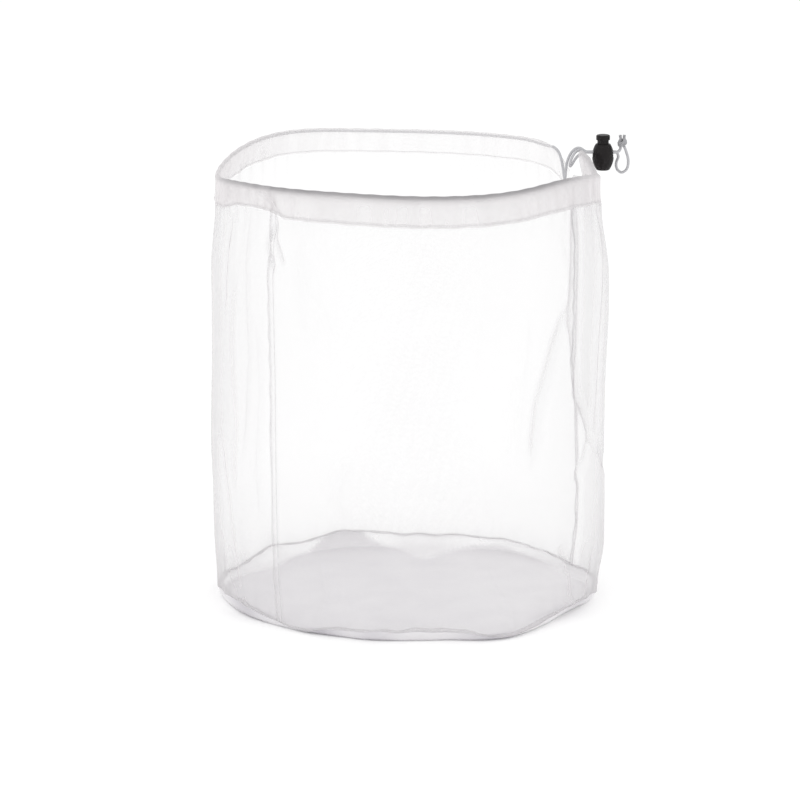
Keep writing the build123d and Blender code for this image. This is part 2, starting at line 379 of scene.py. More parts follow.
wallNet = netMaterial("wall_net", (0.71, 0.695, 0.705), (0.44, 0.42, 0.44))
hemNet = netMaterial("hem_net", (0.80, 0.775, 0.785), (0.30, 0.29, 0.30))
seamNet = netMaterial("seam_net", (0.78, 0.76, 0.775), (0.45, 0.44, 0.45))
baseNet = netMaterial("base_net", (0.83, 0.815, 0.83), (0.52, 0.50, 0.54))
cordBraid = cordMaterial("cord_braid", (0.56, 0.56, 0.58))
# the knot's braid is a darker copy of the cord's: painted shade between its tight wraps, along with grey
# heat-sealed ends
knotBraid = cordMaterial("knot_braid", (0.38, 0.38, 0.395))
casingBraid = cordMaterial("casing_braid", (0.78, 0.78, 0.79))
sewingThread = cordMaterial("sewing_thread", (0.72, 0.71, 0.72))
lockPlastic = plasticMaterial("lock_plastic", (0.0085, 0.0065, 0.007), 0.46)
buttonPlastic = plasticMaterial("button_plastic", (0.0085, 0.007, 0.0075), 0.40)
springWire = steelMaterial("spring_wire")
print("materials made")


# cords: each tail from its end of the casing, over the rim, through the lock and on to the knot

cordSpacing = 0.0018
lockAxisY = lockMiddle.y
cordHeight = 0.4785
gapAhead = 114.0  # where the cord leaves the casing, in degrees
gapBehind = 130.0
frontTailRoute = [
    tuple(around(gapAhead, rimRadius, cordLevel)),
    (0.1879, 0.0918, 0.4764),
    (0.1832, 0.0952, 0.4698),
    (0.1795, 0.0925, 0.4635),
    (0.1773, 0.0865, 0.4635),
    (0.1785, 0.0835, 0.4715),
    (0.1830, 0.0875, 0.4795),
    (0.1893, 0.0924, 0.4822),
    (0.1952, lockAxisY - cordSpacing, cordHeight),
    (0.1985, lockAxisY - cordSpacing, cordHeight),
    (0.2270, lockAxisY - cordSpacing, cordHeight),
    (0.2295, lockAxisY - cordSpacing, cordHeight),
    (0.2338, 0.0942, 0.4805),
    (0.2340, 0.0950, 0.4848),
]
rearTailRoute = [
    tuple(around(gapBehind, rimRadius, cordLevel)),
    (0.1650, 0.1284, 0.4755),
    (0.1686, 0.1218, 0.4680),
    (0.1706, 0.1156, 0.4585),
    (0.1716, 0.1084, 0.4502),
    (0.1722, 0.1002, 0.4466),
    (0.1729, 0.0936, 0.4506),
    (0.1734, 0.0922, 0.4596),
    (0.1750, 0.0955, 0.4690),
    (0.1800, 0.1005, 0.4785),
    (0.1878, 0.1006, 0.4834),
    (0.1952, lockAxisY + cordSpacing, cordHeight),
    (0.1985, lockAxisY + cordSpacing, cordHeight),
    (0.2270, lockAxisY + cordSpacing, cordHeight),
    (0.2295, lockAxisY + cordSpacing, cordHeight),
    (0.2324, 0.1006, 0.4725),
    (0.2290, 0.1030, 0.4650),
    (0.2300, 0.1015, 0.4575),
    (0.2358, 0.0990, 0.4538),
    (0.2418, 0.0968, 0.4590),
    (0.2430, 0.0953, 0.4680),
    (0.2412, 0.0950, 0.4768),
    (0.2380, 0.0950, 0.4848),
]


def splineLine(route, resolution=12):
    # the smooth line that a cord's route points pull along
    data = bpy.data.curves.new("line", "CURVE")
    data.dimensions = "3D"
    spline = data.splines.new("NURBS")
    spline.points.add(len(route) - 1)
    for point, place in zip(spline.points, route):
        point.co = (*place, 1)
    spline.order_u = 3
    spline.use_endpoint_u = True
    spline.resolution_u = resolution
    holder = bpy.data.objects.new("line", data)
    bpy.context.scene.collection.objects.link(holder)
    bpy.context.view_layer.update()
    mesh = bpy.data.meshes.new_from_object(holder)
    line = [v.co.copy() for v in mesh.vertices]
    bpy.data.objects.remove(holder)
    bpy.data.curves.remove(data)
    bpy.data.meshes.remove(mesh)
    return line


def evenly(line, step):
    # points the same distance apart along a line
    lengths = [0.0]
    for before, after in zip(line, line[1:]):
        lengths.append(lengths[-1] + (after - before).length)
    count = max(int(round(lengths[-1] / step)), 2)
    points, index = [], 0
    for number in range(count + 1):
        target = lengths[-1] * number / count
        while index < len(lengths) - 2 and lengths[index + 1] < target:
            index += 1
        span = lengths[index + 1] - lengths[index]
        share = (target - lengths[index]) / span if span > 0 else 0
        points.append(line[index].lerp(line[index + 1], share))
    return points, lengths[-1]


braid = {"strands": 8, "turnLength": 0.0095, "depth": 0.00022}
tailMesh = {"step": 0.00045, "sides": 24}


def braidRadius(radius, turn, along):
    # two families of strands that pass over and under each other
    spin = 2 * math.pi * along / braid["turnLength"]
    half = braid["strands"] / 2
    right = 0.5 + 0.5 * math.cos(half * (turn - spin))
    left = 0.5 + 0.5 * math.cos(half * (turn + spin))
    over = 0.5 + 0.5 * math.sin(half * turn) * math.sin(half * spin)
    height = max(right * (0.7 + 0.3 * over), left * (1.0 - 0.3 * over))
    return radius - braid["depth"] * (1 - height)


def tubeAlong(name, line, radius, step, sides, shape=None):
    # a closed round tube along a line, its surface shaped by shape(radius, turn, along)
    points, length = evenly(line, step)
    verts, faces, uvs = [], [], []
    tangent = (points[1] - points[0]).normalized()
    normal = tangent.orthogonal().normalized()
    rows = len(points)
    for row, point in enumerate(points):
        ahead = points[min(row + 1, rows - 1)] - points[max(row - 1, 0)]
        newTangent = ahead.normalized()
        normal = (tangent.rotation_difference(newTangent) @ normal).normalized()
        tangent = newTangent
        side = tangent.cross(normal)
        along = length * row / (rows - 1)
        for number in range(sides):
            turn = 2 * math.pi * number / sides
            reach = shape(radius, turn, along) if shape else radius
            verts.append(point + reach * (math.cos(turn) * normal + math.sin(turn) * side))
    for row in range(rows - 1):
        for number in range(sides):
            after = (number + 1) % sides
            a, b = row * sides + number, row * sides + after
            faces.append((a, b, b + sides, a + sides))
            for across, up in ((0, 0), (1, 0), (1, 1), (0, 1)):
                uvs.append((
                    (number + across) / sides * 2 * math.pi * radius,
                    length * (row + up) / (rows - 1),
                ))
    faces.append(tuple(reversed(range(sides))))
    faces.append(tuple(range((rows - 1) * sides, rows * sides)))
    uvs += [(0.0, 0.0)] * (2 * sides)
    mesh = bpy.data.meshes.new(name)
    mesh.from_pydata([tuple(v) for v in verts], [], faces)
    layer = mesh.uv_layers.new(name="UVMap").data
    for loop, uv in zip(layer, uvs):
        loop.uv = uv
    for polygon in mesh.polygons:
        polygon.use_smooth = True
    piece = bpy.data.objects.new(name, mesh)
    bpy.context.scene.collection.objects.link(piece)
    return piece, points, length


def makeTail(name, route, node):
    line = splineLine(route)
    step, sides = tailMesh["step"], tailMesh["sides"]
    tail, points, length = tubeAlong(name, line, cordDiameter / 2, step, sides, braidRadius)
    finishPiece(tail, "bag", cordBraid, [node])
    print(name, "length", round(length, 4))
    return tail, points, length


frontTail, frontLine, frontLength = makeTail("cord_tail_front", frontTailRoute, "drawcord_tail_front")
rearTail, rearLine, rearLength = makeTail("cord_tail_rear", rearTailRoute, "drawcord_tail_rear")
print("cord tails laid")


# rim: where the hem's top runs, a little higher and lower round the mouth

rimShape = {
    "level": 0.003,
    # the mouth sags at both sides, and stands up along the front and at the rear left
    "lift": [(-90, 24, -11), (92, 15, -12), (-20, 25, 3), (52, 16, 5), (222, 26, 8)],
    "reach": [(96, 14, -5.5)],
    "endDrop": 0.027,  # the rear end of the hem hangs from where the cord leaves it
    "endAngle": 122.0,
    "endTurn": 6.5,
}


def rimLift(angle):
    lift = rimShape["level"] + swells(rimShape["lift"], angle)
    ahead = turnBetween(angle, rimShape["endAngle"])
    hang = np.exp(-(np.maximum(ahead, 0) / rimShape["endTurn"]) ** 1.5) * smooth(-3.5, 0.0, ahead)
    return lift - rimShape["endDrop"] * hang


def rimReach(angle):
    return rimRadius + swells(rimShape["reach"], angle)


# wall: upright net, drawn in at the hem, with the creases it keeps from being folded

hemShape = {"loop": 0.0030, "gap": 0.0009, "height": cordLevel - hemBottom, "twist": 0.22, "flare": 0.0045}
wallShape = {"bodyRadius": 0.2160, "ripple": 0.0018, "floorShade": 0.35, "neckGap": 0.0022, "seamDip": 0.0022}
leftSeam = {"top": -43, "bottom": -41}
rightSeam = {"top": 118, "bottom": 118}
# each line runs through (angle, millimetres up); width and depth in millimetres, depth outwards
wallCreases = [
    {"line": [(-64, 450), (-67, 410), (-68, 330)], "width": 9, "depth": -3.5, "layers": 1.5},
    {"line": [(-42, 455), (-42, 430), (-38, 400)], "width": 6, "depth": -4, "layers": 4.5, "shade": 0.15},
    {"line": [(-43, 445), (-45, 420), (-42, 390)], "width": 6, "depth": -3.5, "layers": 4, "shade": 0.15},
    {"line": [(118, 445), (121, 380), (122, 280), (118, 200), (108, 150)],
     "width": 13, "depth": -5, "layers": 4.4, "shade": 0.25, "fade": 0.09},
    {"line": [(106, 440), (107, 300), (109, 160)], "width": 13, "depth": 5, "layers": 0.6},
    {"line": [(122, 310), (130, 250), (137, 180), (140, 95)],
     "width": 17, "depth": -7, "layers": 2, "shade": 0.1},
    {"line": [(142, 290), (147, 90)], "width": 16, "depth": 3.5, "layers": 0.2},
    {"line": [(109, 170), (121, 95)], "width": 10, "depth": -4, "layers": 1},
    {"line": [(80, 150), (104, 150)], "width": 16, "depth": -4, "layers": 0.8},
    {"line": [(-56, 400), (-59, 310), (-57, 220), (-60, 120)], "width": 22, "depth": 3.0, "layers": 0.5},
    {"line": [(-50, 350), (-49, 260), (-51, 170), (-49, 100)], "width": 17, "depth": -2.6, "layers": 0.5},
    {"line": [(-75, 200), (-68, 120), (-63, 60), (-60, 20)], "width": 16, "depth": -4.0, "layers": 0.8},
    {"line": [(-35, 440), (-30, 380), (-20, 330)], "width": 18, "depth": -2.0, "layers": 0.3},
    {"line": [(50, 445), (56, 380), (58, 300)], "width": 18, "depth": -2.6, "layers": 0.5},
    {"line": [(70, 430), (74, 340), (72, 250), (76, 160)], "width": 16, "depth": 3.0, "layers": 0.5},
    {"line": [(60, 12), (57, 50), (50, 90)], "width": 16, "depth": -5.0, "layers": 0.8},
    {"line": [(-28, 8), (-24, 50), (-26, 90)], "width": 16, "depth": 3.0, "layers": 0.4},
    {"line": [(30, 8), (28, 45), (22, 80)], "width": 16, "depth": 3.0, "layers": 0.4},
    {"line": [(210, 440), (214, 330), (211, 220)], "width": 20, "depth": 2.6, "layers": 0.3},
    {"line": [(236, 445), (240, 350), (238, 240), (242, 120)], "width": 18, "depth": -3.0, "layers": 0.5},
    {"line": [(180, 430), (176, 330), (179, 250)], "width": 22, "depth": -2.0, "layers": 0.2},
    {"line": [(268, 430), (266, 330), (270, 230), (267, 110)], "width": 18, "depth": 2.6, "layers": 0.4},
    {"line": [(200, 25), (203, 60), (198, 110)], "width": 16, "depth": -3.0, "layers": 0.4},
]
baseLine = {
    "level": 0.011,
    # the base seam lifts off the floor at the sides and most at the rear left
    "height": [(-65, 18, 4), (-35, 13, -8), (30, 12, -8), (65, 12, 4), (118, 16, -6), (158, 20, 3),
               (200, 14, 9), (229, 7, 6), (245, 10, -5)],
    "radius": 0.212,
    # the front right of the base is pulled outward
    "reach": [(-8, 14, 7), (26, 14, 19), (90, 12, -3)],
}


def hemDrop(angle):
    # how far the hem's foot hangs below its top; by the left seam the hem is twisted and shows less
    near = turnBetween(angle, 0)
    twist = smooth(-72, -60, near) * (1 - smooth(-45, -38, near))
    front = 0.0030 * np.cos(np.radians(angle - 12))
    return hemShape["height"] + front - (hemShape["height"] + front) * hemShape["twist"] * twist


def seamHeight(angle):
    turn = np.radians(angle)
    fine = 0.0006 * np.sin(turn * 23 + 2 * np.sin(turn * 4)) + 0.0003 * np.sin(turn * 41 + 1)
    return np.maximum(baseLine["level"] + swells(baseLine["height"], angle) + fine, 0.0022)


def seamRadius(angle):
    turn = np.radians(angle)
    fine = 0.0005 * np.sin(17 * turn + 2 * np.sin(3 * turn))
    return baseLine["radius"] + swells(baseLine["reach"], angle) + fine


def seamAngle(seam, rise):
    return seam["bottom"] + (seam["top"] - seam["bottom"]) * rise


def wallPlace(angle, rise):
    # the wall's points; rise is 0 at the base seam and 1 at the hem's foot
    turn = np.radians(angle)
    low = seamHeight(angle)
    high = cordLevel + rimLift(angle) - hemDrop(angle)
    height = low + (high - low) * rise
    neck = rimReach(angle) - wallShape["neckGap"] + hemShape["flare"]
    radius = wallShape["bodyRadius"] + 0 * turn
    radius = radius + (seamRadius(angle) - radius) * (1 - smooth(0.0, 0.13, rise)) ** 1.3
    radius = radius + (neck - radius) * smooth(0.78, 0.995, rise) ** 1.4
    # the right side stands out a little, then gives way
    radius = radius + 0.0050 * bump(88, 22, angle) * bump(0.335, 0.10, height)
    at = aroundAll(angle, bagRadius, height * 0.5)
    soft = ripples(at, 0.09) * 1.7 + ripples(at, 0.036, 7) * 0.35
    middle = smooth(0.0, 0.12, rise) * (1 - smooth(0.9, 1.0, rise))
    radius = radius + wallShape["ripple"] * soft * middle
    gather = 0.0011 * np.sin(turn * 61 + 2.6 * np.sin(turn * 5)) * np.exp(-np.maximum(1 - rise, 0) / 0.05)
    gather = gather + 0.0007 * np.sin(turn * 43 + 2.4 * np.sin(turn * 7)) * np.exp(-rise / 0.045)
    radius = radius + gather
    layers = 0.92 + 0.2 * np.clip(soft, -1, 1.5) + 0.3 * smooth(0.6, 0.95, np.abs(np.sin(turn)))
    layers = layers + 0.5 * np.exp(-np.maximum(1 - rise, 0) / 0.03)
    layers = layers + 0.6 * (1 - smooth(0.0, 0.26, rise)) + 0.8 * np.exp(-rise / 0.03)
    layers = layers + 330 * np.abs(gather) * np.exp(-rise / 0.05)
    # cloth lies double where it folds back beside the right seam
    doubled = smooth(104, 111, angle) * (1 - smooth(118, 122, angle)) * smooth(0.15, 0.20, height)
    layers = layers + 1.7 * doubled
    shade = wallShape["floorShade"] * np.exp(-rise / 0.06)
    for seam in (leftSeam, rightSeam):
        radius = radius - wallShape["seamDip"] * bump(0, 1.2, turnBetween(angle, seamAngle(seam, rise)))
    for crease in wallCreases:
        field = creaseField(angle, height, crease)
        radius = radius + crease["depth"] / 1000 * field
        layers = layers + crease["layers"] * field
        shade = shade + crease.get("shade", 0.0) * field
    return aroundAll(angle, radius, height), np.maximum(layers, 0.6), np.clip(shade, 0, 1)


def makeWall(name, first, last, turns, node, across, along):
    def place(u, v):
        start, end = seamAngle(first, v), seamAngle(last, v) + turns
        return wallPlace(start + (end - start) * u, v)

    span = last["top"] + turns - first["top"]
    width, length = math.radians(span) * wallShape["bodyRadius"], hemBottom
    wall = gridSheet(name, across, along, place, width, length)
    finishPiece(wall, "bag", wallNet, [node])


makeWall("front_wall", leftSeam, rightSeam, 0, "front_side_panel", 300, 190)
makeWall("rear_wall", rightSeam, leftSeam, 360, "rear_side_panel", 340, 190)
print("wall hung")


# hem: the wall's top folded over the cord and sewn down at its foot

hemStraight = 0.43  # share of the hem's girth on each side of the fold over the cord


def hemPlace(angle, v, darkness):
    # v runs from the outer foot up over the cord and down to the inner foot
    reach, level, drop = rimReach(angle), cordLevel + rimLift(angle), hemDrop(angle)
    turn = np.radians(angle)
    loop = hemShape["loop"] + 0.0002 * np.sin(turn * 61)
    sag = 0.0011 * np.sin(turn * 31 + 2 * np.sin(turn * 4))
    sag = sag + 0.0006 * np.sin(turn * 73 + 3 * np.sin(turn * 9))
    outerSide, innerSide = v < hemStraight, v > 1 - hemStraight
    down = np.where(outerSide, 1 - v / hemStraight, np.where(innerSide, 1 - (1 - v) / hemStraight, 0.0))
    outward = loop + (hemShape["gap"] - loop) * smooth(0.0, 1.0, down)
    lean = (sag - 0.0022) * down + hemShape["flare"] * down ** 1.5
    # a slanting crease where the hem is twisted by the left seam
    left = turnBetween(angle, -51 + 10 * down)
    twisted = bump(0, 1.8, left) * np.exp(-np.abs(down - 0.5) * 0.8)
    lean = lean - 0.0030 * twisted * smooth(0, 0.2, down) - 0.004 * down * bump(-54, 8, turnBetween(angle, 0))
    swing = math.pi * np.clip((v - hemStraight) / (1 - 2 * hemStraight), 0, 1)
    radius = np.where(outerSide, reach + outward + lean, np.where(innerSide, reach - outward + lean,
                                                                reach + loop * np.cos(swing)))
    foot = drop - np.where(innerSide, 0.0012, 0.0)
    height = np.where(outerSide | innerSide, level - foot * down, level + loop * np.sin(swing))
    tight = bump(0.5, 0.098, v)
    footEdge = smooth(0.90, 0.985, down)
    cloud = 0.8 * np.sin(turn * 37 + 3 * np.sin(turn * 6)) * np.sin(turn * 11 + 1)
    front = smooth(0.15, 0.45, darkness)
    streaks = 0.7 * np.sin(turn * 53 + 4 * np.sin(turn * 7)) * smooth(35, 60, np.abs(turnBetween(angle, 20)))
    layers = 1.2 + 3.4 * front + (cloud + streaks) * (0.35 + 0.65 * front) + (0.8 + 4.0 * front) * footEdge
    layers = layers + 20 * tight * darkness + 3.0 * twisted
    layers = layers + 1.4 * bump(238, 26, angle % 360) + 1.2 * bump(48, 14, turnBetween(angle, 0))
    # painted shade: a dark line along the fold over the cord, a darker line at the foot, and shade in the
    # twisted crease
    shade = darkness * tight + (0.05 + 0.2 * front) * footEdge + 0.12 * twisted
    return aroundAll(angle, radius, height), np.maximum(layers, 1.0), np.clip(shade, 0, 1)


def makeHem(name, first, last, node, across, darkness):
    girth = 2 * hemShape["height"] + math.pi * hemShape["loop"]

    def place(u, v):
        angle = first + (last - first) * u
        return hemPlace(angle, v, darkness(angle))

    width = math.radians(last - first) * rimRadius
    hem = gridSheet(name, across, 44, place, width, girth)
    finishPiece(hem, "bag", hemNet, [node])


# painted shade line along the fold over the cord, dark along the front and lighter past 50 degrees; the same
# value also thickens the cloth there
def frontFoldShade(angle):
    return 0.45 + 0.55 * (1 - smooth(50, 64, angle))


# the rear's painted shade line along the fold is faint, and darkens towards its end by the left seam; it also
# thickens the cloth there
def rearFoldShade(angle):
    return 0.10 + 0.08 * smooth(215, 250, angle) + 0.68 * smooth(272, 296, angle)


makeHem("front_hem", -44.6, 114.0, "hem_casing_front", 300, frontFoldShade)
makeHem("rear_hem", 122.5, 316.2, "hem_casing_rear", 340, rearFoldShade)
print("hem folded")


# cord inside the casing

def casingCordLine():
    line = []
    steps = int(360 + gapAhead - gapBehind)
    for number in range(steps + 1):
        angle = gapBehind + number
        settle = min(smooth(130, 142, angle), 1 - smooth(462, 474, angle))
        reach = rimRadius + (rimReach(angle) - rimRadius) * settle
        level = cordLevel + rimLift(angle) * settle
        line.append(around(angle, reach, level))
    return line


casingCord, _, casingCordLength = tubeAlong(
    "casing_cord", casingCordLine(), cordDiameter / 2, 0.0011, 14, braidRadius
)
finishPiece(casingCord, "bag", casingBraid, ["drawcord"])
print("casing cord length", round(float(casingCordLength), 3))


# base: a disc of net that lies on the floor and curls up to the base seam

baseShape = {
    "rest": 0.0007,
    "steepness": 1.6,
    "inset": 0.006,
    "clothTurn": 33,  # degrees from the net's rows to the side axis
    "mergeGap": 0.00002,
    # further in from the seam, the cloth leaves the floor in a bay at the back and shallower ones beside it
    "bays": [(62, 14, 13), (116, 14, 24), (173, 10, 76), (236, 15, 26)],
    "smallest": 0.004,
}


def flatRadius(angle):
    return seamRadius(angle) - baseShape["inset"] - swells(baseShape["bays"], angle)


def basePlace(angle, share):
    turn = np.radians(angle)
    flat = flatRadius(angle)
    outer, top = seamRadius(angle), seamHeight(angle)
    reach = outer * share
    crease = 0.0010 * np.abs(ripples(aroundAll(angle, reach, 0), 0.05, 3)) * smooth(0.02, 0.08, reach)
    rise = np.clip((reach - flat) / (outer - flat), 0, 1)
    pucker = 0.0006 * np.sin(turn * 47 + 3 * np.sin(turn * 6)) * rise * (1 - rise)
    height = baseShape["rest"] + crease * (1 - rise)
    height = height + (top - baseShape["rest"]) * rise ** baseShape["steepness"] + pucker
    return aroundAll(angle, reach, height)


baseFolds = [
    # (angle, degrees wide, share of the radius, strength): cloth folded under itself along the front, thicker
    # there and darkened with painted shade
    (-58, 9, 0.90, 1.2), (-27, 7, 0.93, 1.6), (-10, 6, 0.95, 1.0), (24, 9, 0.93, 1.6), (62, 13, 0.86, 0.8),
]


def baseLook(angle, share, rise):
    turn = np.radians(angle)
    mottle = 0.5 * np.sin(turn * 5 + 9 * share) * np.sin(turn * 3 - 14 * share + 1)
    # the doubled cloth of the floor runs a little way up the side at two places
    back = angle % 360
    climb = 0.92 * smooth(186, 198, back) * (1 - smooth(204, 217, back)) + 0.4 * bump(153, 12, back)
    lifted = smooth(climb - 0.05, climb + 0.22, rise)
    seen = turnBetween(angle, 0)
    frontEdge = smooth(0.86, 0.98, share) * (1 - smooth(75, 100, np.abs(seen)))
    layers = 13 + 2.0 * mottle - 8.5 * lifted + 4 * smooth(0.85, 1.0, rise) + 5 * frontEdge
    layers = layers + 15 * smooth(0.0, 0.3, rise) * (1 - lifted) * smooth(90, 120, np.abs(seen))
    behind = smooth(90, 120, np.abs(seen))
    lit = 0.13 * smooth(-0.1, 0.8, share * np.sin(turn)) + 0.12 * smooth(0.0, 0.4, rise) * behind
    shade = 0.19 + 0.07 * mottle - 0.19 * lifted + 0.10 * smooth(0.85, 1.0, rise) - lit
    for middle, width, place, strength in baseFolds:
        under = strength * bump(0, width, turnBetween(angle, middle)) * smooth(place - 0.07, place, share)
        layers = layers + 12 * under
        shade = shade + 0.5 * under
    return np.maximum(layers, 2.0), np.clip(shade, 0, 1)


def makeBase():
    across, along = 300, 80
    deselectAll()
    bpy.ops.mesh.primitive_grid_add(x_subdivisions=across, y_subdivisions=along, size=2)
    base = bpy.context.active_object
    base.name = "base_net"
    mesh = base.data
    u, v, _ = ((meshPoints(mesh) + 1) / 2).T
    share = np.where(v < 0.5, v ** 0.6, 0.66 + 0.34 * (v - 0.5) / 0.5)
    share = baseShape["smallest"] + (1 - baseShape["smallest"]) * share
    mesh.vertices.foreach_set("co", basePlace(360 * u, share).ravel())
    bpy.ops.object.mode_set(mode="EDIT")
    bpy.ops.mesh.select_all(action="SELECT")
    bpy.ops.mesh.remove_doubles(threshold=baseShape["mergeGap"])
    bpy.ops.object.mode_set(mode="OBJECT")
    x, y, _ = meshPoints(mesh).T
    corners = faceCorners(mesh)
    turned = math.radians(baseShape["clothTurn"])
    rowsAcross = x * math.cos(turned) - y * math.sin(turned)
    rowsAlong = x * math.sin(turned) + y * math.cos(turned)
    uvs = np.stack([rowsAcross[corners], rowsAlong[corners]], axis=-1)
    mesh.uv_layers.active.data.foreach_set("uv", uvs.ravel())
    angle = np.degrees(np.arctan2(x, -y))
    outer, flat = seamRadius(angle), flatRadius(angle)
    share = np.hypot(x, y) / outer
    rise = np.clip((share * outer - flat) / (outer - flat), 0, 1)
    layers, shade = baseLook(angle, share, rise)
    setAttribute(mesh, "layers", layers)
    setAttribute(mesh, "shade", shade)
    bpy.ops.object.shade_smooth()
    finishPiece(base, "bag", baseNet, ["bottom_panel"])


makeBase()
print("base laid")


# seams: the cloth turned in and oversewn, lying against the wall inside

seamShape = {"width": 0.0075, "layerGap": 0.0005, "depth": 0.0009, "baseWidth": 0.0085}


def joinPieces(pieces, name):
    deselectAll()
    for piece in pieces:
        piece.select_set(True)
    bpy.context.view_layer.objects.active = pieces[0]
    bpy.ops.object.join()
    joined = bpy.context.active_object
    joined.name = name
    return joined


def seamStrip(seam, side, offset):
    def place(u, v):
        shift = side * np.degrees(seamShape["width"] * u / wallShape["bodyRadius"])
        points, _, _ = wallPlace(seamAngle(seam, v) + shift, v)
        flutter = 0.0007 * np.sin(v * 60 + 5 * np.sin(v * 9)) * u
        depth = seamShape["depth"] + offset + flutter * u + 0.0004 * u
        edges = np.maximum(1 - smooth(0.0, 0.22, u), smooth(0.72, 0.95, u))
        uneven = 0.5 + 0.5 * np.sin(v * 43 + 4 * np.sin(v * 13))
        layers = 0.7 + 2.6 * edges * (0.5 + 0.5 * uneven)
        # the folded and cut edges are thicker, and darkened with painted shade
        return points - outwardFrom(points) * depth[:, None], layers, 0.3 * edges
    return place


def makeSideSeam(name, seam, side, node):
    layers = [
        gridSheet(f"{name}_{number}", 10, 220, seamStrip(seam, side, number * seamShape["layerGap"]),
                  seamShape["width"], hemBottom)
        for number in range(2)
    ]
    return finishPiece(joinPieces(layers, name), "bag", seamNet, [node])


def baseStrip(offset):
    def place(u, v):
        turn = 2 * math.pi * u
        angle = 360 * u
        lean = 0.5 + 0.3 * np.sin(turn * 3 + 1) + 0.2 * np.sin(turn * 11)
        inward = seamShape["baseWidth"] * v * (0.55 + 0.3 * lean)
        height = seamHeight(angle) + offset + 0.0040 * v * (lean - 0.35) + 0.0004 * np.sin(turn * 47) * v
        edges = np.maximum(1 - smooth(0.0, 0.3, v), smooth(0.75, 0.95, v))
        points = aroundAll(angle, seamRadius(angle) - 0.0006 - inward, np.maximum(height, 0.0022))
        # painted shade over the allowance, darker at its folded and cut edges, which are also thicker
        return points, 2.2 + 3.0 * edges, 0.15 + 0.35 * edges
    return place


def makeBaseSeam():
    layers = [
        gridSheet(f"base_seam_{number}", 420, 6, baseStrip(0.0006 * number), 2 * math.pi * bagRadius,
                  seamShape["baseWidth"])
        for number in range(2)
    ]
    return finishPiece(joinPieces(layers, "base_seam_allowance"), "bag", seamNet, ["base_seam"])


makeSideSeam("left_side_seam", leftSeam, -1, "side_seam_left")
makeSideSeam("right_side_seam", rightSeam, 1, "side_seam_right")
makeBaseSeam()
print("seams turned in")


# stitches: short rounded bars of thread, each lying along or across its seam

stitch = {
    "length": 0.0021,
    "thickness": 0.00042,
    "pitch": 0.0030,
    "overlock": 0.0036,
    "hemSpans": ((-44.0, 113.5), (123.0, 315.6)),  # degrees
}


def stitchForm():
    deselectAll()
    bpy.ops.mesh.primitive_uv_sphere_add(segments=6, ring_count=6, radius=0.5)
    form = bpy.context.active_object
    points = np.array([tuple(v.co) for v in form.data.vertices])
    points[:, 2] = np.clip(points[:, 2] * 1.6, -0.5, 0.5)
    faces = [tuple(p.vertices) for p in form.data.polygons]
    bpy.data.objects.remove(form)
    return points, faces


stitchPoints, stitchFaces = stitchForm()


def layStitches(name, starts, ends, node):
    # one bar of thread between each start and end
    starts, ends = np.asarray(starts), np.asarray(ends)
    verts, faces, uvs = [], [], []
    for number, (start, end) in enumerate(zip(starts, ends)):
        along = end - start
        length = np.linalg.norm(along)
        along = along / length
        away = (0.0, 0.0, 1.0) if abs(along[2]) < 0.9 else (0.0, 1.0, 0.0)
        side = np.cross(along, away)
        side = side / np.linalg.norm(side)
        third = np.cross(side, along)
        local = (stitchPoints[:, 0:1] * side + stitchPoints[:, 1:2] * third) * stitch["thickness"]
        base = len(verts)
        verts.extend(map(tuple, (start + end) / 2 + local + stitchPoints[:, 2:3] * along * length))
        for face in stitchFaces:
            faces.append(tuple(base + i for i in face))
            for x, _, z in stitchPoints[list(face)]:
                uvs.append((x * stitch["thickness"], number * stitch["pitch"] + z * length))
    mesh = bpy.data.meshes.new(name)
    mesh.from_pydata(verts, [], faces)
    mesh.uv_layers.new(name="UVMap").data.foreach_set("uv", np.array(uvs).ravel())
    mesh.shade_smooth()
    piece = bpy.data.objects.new(name, mesh)
    bpy.context.scene.collection.objects.link(piece)
    return finishPiece(piece, "bag", sewingThread, [node])


def hemStitches():
    starts, ends = [], []
    for first, last in stitch["hemSpans"]:
        step = math.degrees(stitch["pitch"] / rimRadius)
        angle = np.arange(first, last, step)
        length = math.degrees(stitch["length"] / rimRadius)
        for v, lift in ((0.035, 0.00025), (0.965, -0.00025)):
            for store, at in ((starts, angle), (ends, angle + length)):
                points, _, _ = hemPlace(at, np.full(at.shape, v), 0.0)
                store.extend(points + outwardFrom(points) * lift)
    return layStitches("hem_stitches", starts, ends, "hem_thread")


def sideStitches(name, seam, side, node):
    place = seamStrip(seam, side, 2 * seamShape["layerGap"])
    starts, ends = [], []
    count = int(hemBottom / stitch["pitch"])
    level = (np.arange(count) + 0.5) / count
    half = 0.35 * stitch["length"] / hemBottom
    # a straight row along the seam, and slanting ones round the cut edge
    rows = (
        ((0.10, -half * 1.4), (0.10, half * 1.4)),
        ((0.62, -half), (1.0, half)),
        ((1.0, half), (0.62, 3.2 * half)),
    )
    for (fromU, fromShift), (toU, toShift) in rows:
        for store, u, shift in ((starts, fromU, fromShift), (ends, toU, toShift)):
            at = np.clip(level + shift, 0, 1)
            store.extend(place(np.full(count, u), at)[0])
    return layStitches(name, starts, ends, node)


def baseStitches():
    place = baseStrip(0.0014)
    count = int(2 * math.pi * bagRadius / stitch["overlock"])
    level = np.arange(count) / count
    half = 0.4 / count
    starts, ends = [], []
    for (fromV, fromShift), (toV, toShift) in (((0.15, 0), (0.15, 1.2 * half)), ((0.5, 0), (1.0, half))):
        for store, v, shift in ((starts, fromV, fromShift), (ends, toV, toShift)):
            store.extend(place(level + shift, np.full(count, v))[0])
    return layStitches("base_stitches", starts, ends, "base_thread")


hemStitches()
sideStitches("left_side_stitches", leftSeam, -1, "side_thread_left")
sideStitches("right_side_stitches", rightSeam, 1, "side_thread_right")
baseStitches()
print("stitches sewn")


# knot: both cords wound together, with short cut ends above it

